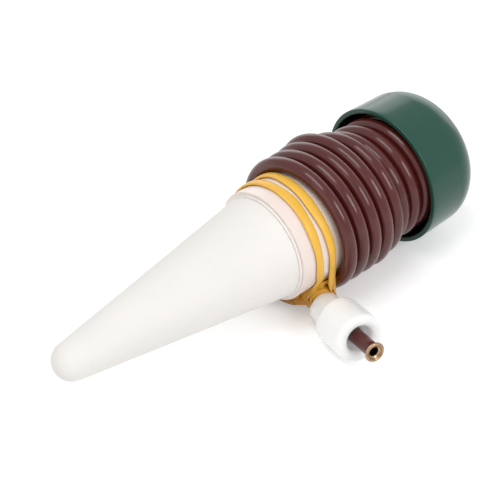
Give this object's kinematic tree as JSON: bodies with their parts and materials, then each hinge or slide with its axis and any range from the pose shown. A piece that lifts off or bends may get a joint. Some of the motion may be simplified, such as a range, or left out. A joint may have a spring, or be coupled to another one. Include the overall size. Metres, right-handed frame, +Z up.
{
  "type": "self watering spike",
  "caption": "Porous clay spike on a plastic neck with a screw cap, and a thin hose wound on it that ends in a sinker and a brass inlet.",
  "frame": {"origin": "bottom centre of the bounding box of the spike lying on its side, without the hose and what is on it; the ground is z = 0", "axes": "+X along the spike from the clay tip to the cap, +Z up, the loose end of the hose lies towards -Y"},
  "size_m": [0.1692, 0.077, 0.0504],
  "materials": {
    "ceramic_cone": "matt unglazed porous clay",
    "cone_seal": "soft grey-white silicone rubber",
    "neck_sleeve": "milky translucent moulded polypropylene",
    "cap": "glossy dark green moulded plastic",
    "cap_gasket": "black rubber",
    "hose_coil": "shiny dark brown soft vinyl",
    "hose_tail": "shiny dark brown soft vinyl",
    "rubber_band": "stretched amber rubber",
    "sinker": "glazed white ceramic",
    "ferrule": "turned brass with a rolled lip"
  },
  "bodies": {
    "spike": {"ceramic_cone": "ceramic_cone", "cone_seal": "cone_seal", "neck_sleeve": "neck_sleeve", "hose_coil": "hose_coil", "hose_tail": "hose_tail", "rubber_band": "rubber_band", "ferrule": "ferrule"},
    "gasket_ring": {"cap_gasket": "cap_gasket"},
    "screw_cap": {"cap": "cap"},
    "sinker_weight": {"sinker": "sinker"}
  },
  "joints": [
    {"name": "cap_lift", "type": "slide", "parent": "spike", "child": "gasket_ring", "axis": [1, 0, 0], "range_m": [0, 0.04]},
    {"name": "cap_turn", "type": "hinge", "parent": "gasket_ring", "child": "screw_cap", "pos_m": [0.07, 0, 0.0252], "axis": [1, 0, 0], "range_deg": [0, 1800]},
    {"name": "sinker_slide", "type": "slide", "parent": "spike", "child": "sinker_weight", "axis": [-0.2284, -0.9557, 0.1856], "range_m": [0, 0.0119]}
  ],
  "couplings": [
    {"joint": "cap_lift", "follows": "cap_turn", "m_per_rad": 0.0012732}
  ]
}
